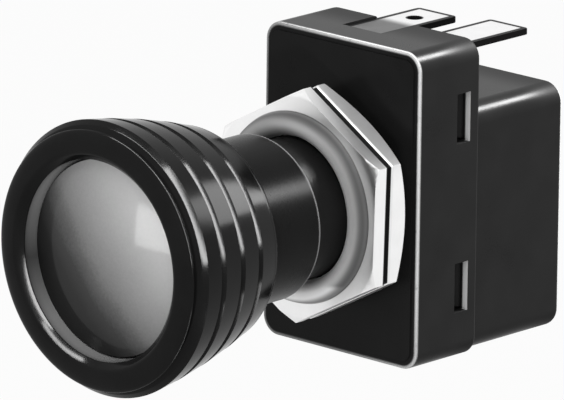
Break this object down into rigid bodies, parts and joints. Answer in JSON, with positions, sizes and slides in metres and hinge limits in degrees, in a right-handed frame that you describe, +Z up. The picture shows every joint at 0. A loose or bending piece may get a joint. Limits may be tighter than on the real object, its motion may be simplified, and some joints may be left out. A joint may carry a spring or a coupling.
{
  "type": "panel-mount push-pull switch with illuminated knob",
  "caption": "Black panel-mount push-pull switch: ribbed knob with a frosted lens on a threaded-neck body, hex nuts that clamp the panel, and blade terminals behind.",
  "frame": {"origin": "on the neck's axis, in the plane of the rear nut's front face, where the panel's back seats", "axes": "-Y along the neck's axis towards the knob, +Z up towards the side with the two blades, +X to the right for someone facing the knob"},
  "size_m": [0.0336, 0.079, 0.0396],
  "materials": {
    "black_moulding": "black moulded thermoplastic, fine matt grain",
    "black_gloss": "black moulded thermoplastic, polished",
    "brown_moulding": "brown thermoset moulding",
    "nickel_plate": "bright nickel plate",
    "brass": "plain brass",
    "tinned_brass": "tin-plated brass strip, bright",
    "contact_silver": "silver contact rivet",
    "spring_steel": "spring steel",
    "frosted_lens": "frosted translucent plastic",
    "bulb_glass": "clear glass on a plated cap",
    "white_insulation": "white insulating plastic"
  },
  "bodies": {
    "housing": {"front_housing": "black_moulding", "rear_housing": "black_moulding", "front_nut": "nickel_plate", "rear_nut": "nickel_plate", "feed_terminal": "tinned_brass", "load_terminal": "tinned_brass", "earth_terminal": "tinned_brass", "feed_contact": "contact_silver", "load_contact": "contact_silver", "detent_ball": "spring_steel", "detent_spring": "spring_steel"},
    "plunger": {"knob": "black_gloss", "lens": "frosted_lens", "bulb": "bulb_glass", "lamp_holder": "brass", "lamp_contact": "brass", "lamp_spring": "spring_steel", "lamp_insulator": "white_insulation", "pull_stem": "nickel_plate", "insulating_sleeve": "white_insulation", "retaining_clip": "spring_steel", "carriage": "brown_moulding", "contact_bridge": "brass", "bridge_contact_left": "contact_silver", "bridge_contact_right": "contact_silver", "bridge_spring": "spring_steel", "earth_slider": "brass", "lamp_link": "brass"}
  },
  "joints": [
    {"name": "pull_slide", "type": "slide", "parent": "housing", "child": "plunger", "axis": [0, -1, 0], "range_m": [0, 0.0055]}
  ]
}
